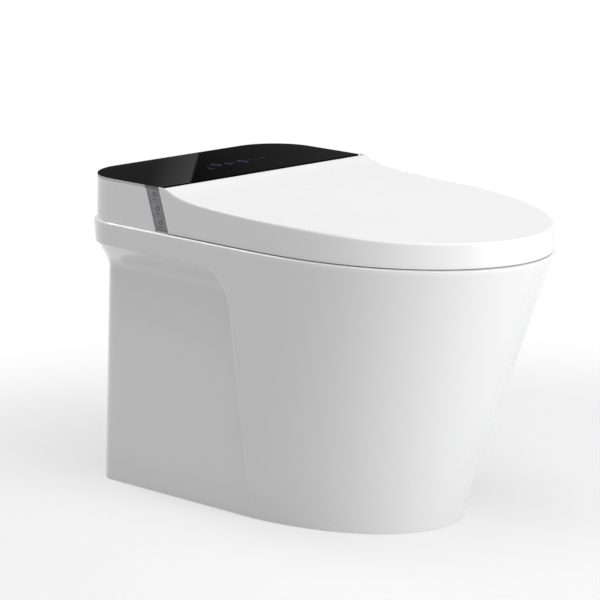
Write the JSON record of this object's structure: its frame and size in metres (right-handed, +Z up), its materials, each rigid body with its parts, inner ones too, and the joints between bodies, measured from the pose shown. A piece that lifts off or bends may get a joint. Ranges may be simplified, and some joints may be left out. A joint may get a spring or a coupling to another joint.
{
  "type": "smart toilet with heated seat",
  "caption": "Floor-standing tankless toilet with heated seat, soft-close lid, washing wands, warm-air dryer and a glass-topped control unit at the rear.",
  "frame": {"origin": "on the floor, under the middle of the outline", "axes": "+Z up, -Y towards the bowl's nose, +Y towards the wall, the key strip on the -X side"},
  "size_m": [0.4, 0.6699, 0.446],
  "materials": {
    "vitreous_china": "glossy white glaze",
    "white_shell": "glossy white moulding",
    "white_seat": "satin white moulding",
    "black_glass": "polished, printed black underneath",
    "grey_strip": "satin mid grey",
    "nozzle_white": "glossy",
    "nozzle_steel": "polished",
    "inner_grey": "moulded grey",
    "inner_black": "moulded black",
    "motor_steel": "zinc plated",
    "inlet_brass": "machined",
    "board_green": "solder mask",
    "soft_rubber": "matte",
    "clear_rubber": "matte translucent white",
    "heater_film": "foil"
  },
  "bodies": {
    "root": {"ceramic_body": "vitreous_china", "rear_cover": "white_shell", "front_cowl": "white_seat", "glass_panel": "black_glass", "side_strip": "grey_strip", "base_plate": "inner_grey", "wand_guide": "inner_grey", "air_duct": "inner_grey", "fan_housing": "inner_grey", "water_heater": "inner_grey", "flow_selector": "inner_grey", "key_board": "inner_grey", "cord_gland": "inner_grey", "fill_valve": "inner_grey", "display_module": "inner_black", "power_supply": "inner_black", "hinge_dampers": "inner_black", "fan_motor": "motor_steel", "rear_wand_motor": "motor_steel", "front_wand_motor": "motor_steel", "hinge_shafts": "motor_steel", "hinge_brackets": "motor_steel", "base_screws": "motor_steel", "valve_coils": "motor_steel", "inlet_fitting": "inlet_brass", "main_board": "board_green", "outlet_gasket": "soft_rubber", "deck_pad": "soft_rubber", "inlet_hose": "soft_rubber", "heater_hose": "soft_rubber", "flush_hose": "soft_rubber"},
    "seat": {"seat_top": "white_seat", "seat_base": "white_seat", "seat_heater": "heater_film", "seat_bumpers": "clear_rubber"},
    "lid": {"lid_shell": "white_shell", "lid_liner": "white_seat", "lid_bumpers": "clear_rubber"},
    "rear_wand": {"rear_wand": "nozzle_white", "rear_wand_tip": "nozzle_steel"},
    "front_wand": {"front_wand": "nozzle_white", "front_wand_tip": "nozzle_steel"},
    "rear_pinion": {"rear_wand_pinion": "inner_black"},
    "front_pinion": {"front_wand_pinion": "inner_black"},
    "upper_key": {"upper_key": "grey_strip"},
    "middle_key": {"middle_key": "grey_strip"},
    "lower_key": {"lower_key": "grey_strip"},
    "air_flap": {"air_flap": "inner_grey"},
    "fan_rotor": {"fan_impeller": "inner_black"}
  },
  "joints": [
    {"name": "seat_hinge", "type": "hinge", "parent": "root", "child": "seat", "pos_m": [0, 0.137, 0.431], "axis": [1, 0, 0], "range_deg": [-95, 0]},
    {"name": "lid_hinge", "type": "hinge", "parent": "seat", "child": "lid", "pos_m": [0, 0.137, 0.431], "axis": [-1, 0, 0], "range_deg": [0, 100]},
    {"name": "rear_wand_slide", "type": "slide", "parent": "root", "child": "rear_wand", "axis": [0, -0.9781, -0.2079], "range_m": [0, 0.095]},
    {"name": "front_wand_slide", "type": "slide", "parent": "root", "child": "front_wand", "axis": [0, -0.9781, -0.2079], "range_m": [0, 0.095]},
    {"name": "rear_pinion_spin", "type": "hinge", "parent": "root", "child": "rear_pinion", "pos_m": [0.0336, 0.07163, 0.38153], "axis": [0, -0.2079, 0.9781], "range_deg": [-10, 920]},
    {"name": "front_pinion_spin", "type": "hinge", "parent": "root", "child": "front_pinion", "pos_m": [-0.0336, 0.07163, 0.38153], "axis": [0, -0.2079, 0.9781], "range_deg": [-920, 10]},
    {"name": "upper_key_press", "type": "slide", "parent": "root", "child": "upper_key", "axis": [1, 0, 0], "range_m": [0, 0.0007], "stiffness_N_per_m": 900},
    {"name": "middle_key_press", "type": "slide", "parent": "root", "child": "middle_key", "axis": [1, 0, 0], "range_m": [0, 0.0007], "stiffness_N_per_m": 900},
    {"name": "lower_key_press", "type": "slide", "parent": "root", "child": "lower_key", "axis": [1, 0, 0], "range_m": [0, 0.0007], "stiffness_N_per_m": 900},
    {"name": "air_flap_swing", "type": "hinge", "parent": "root", "child": "air_flap", "pos_m": [0.059, 0.0462, 0.3854], "axis": [-1, 0, 0], "range_deg": [0, 60]},
    {"name": "fan_spin", "type": "hinge", "parent": "root", "child": "fan_rotor", "pos_m": [0.092, 0.236, 0.4], "axis": [0, 0, 1], "continuous": true}
  ],
  "couplings": [
    {"joint": "rear_pinion_spin", "follows": "rear_wand_slide", "rad_per_m": 166.67},
    {"joint": "front_pinion_spin", "follows": "front_wand_slide", "rad_per_m": -166.67}
  ]
}
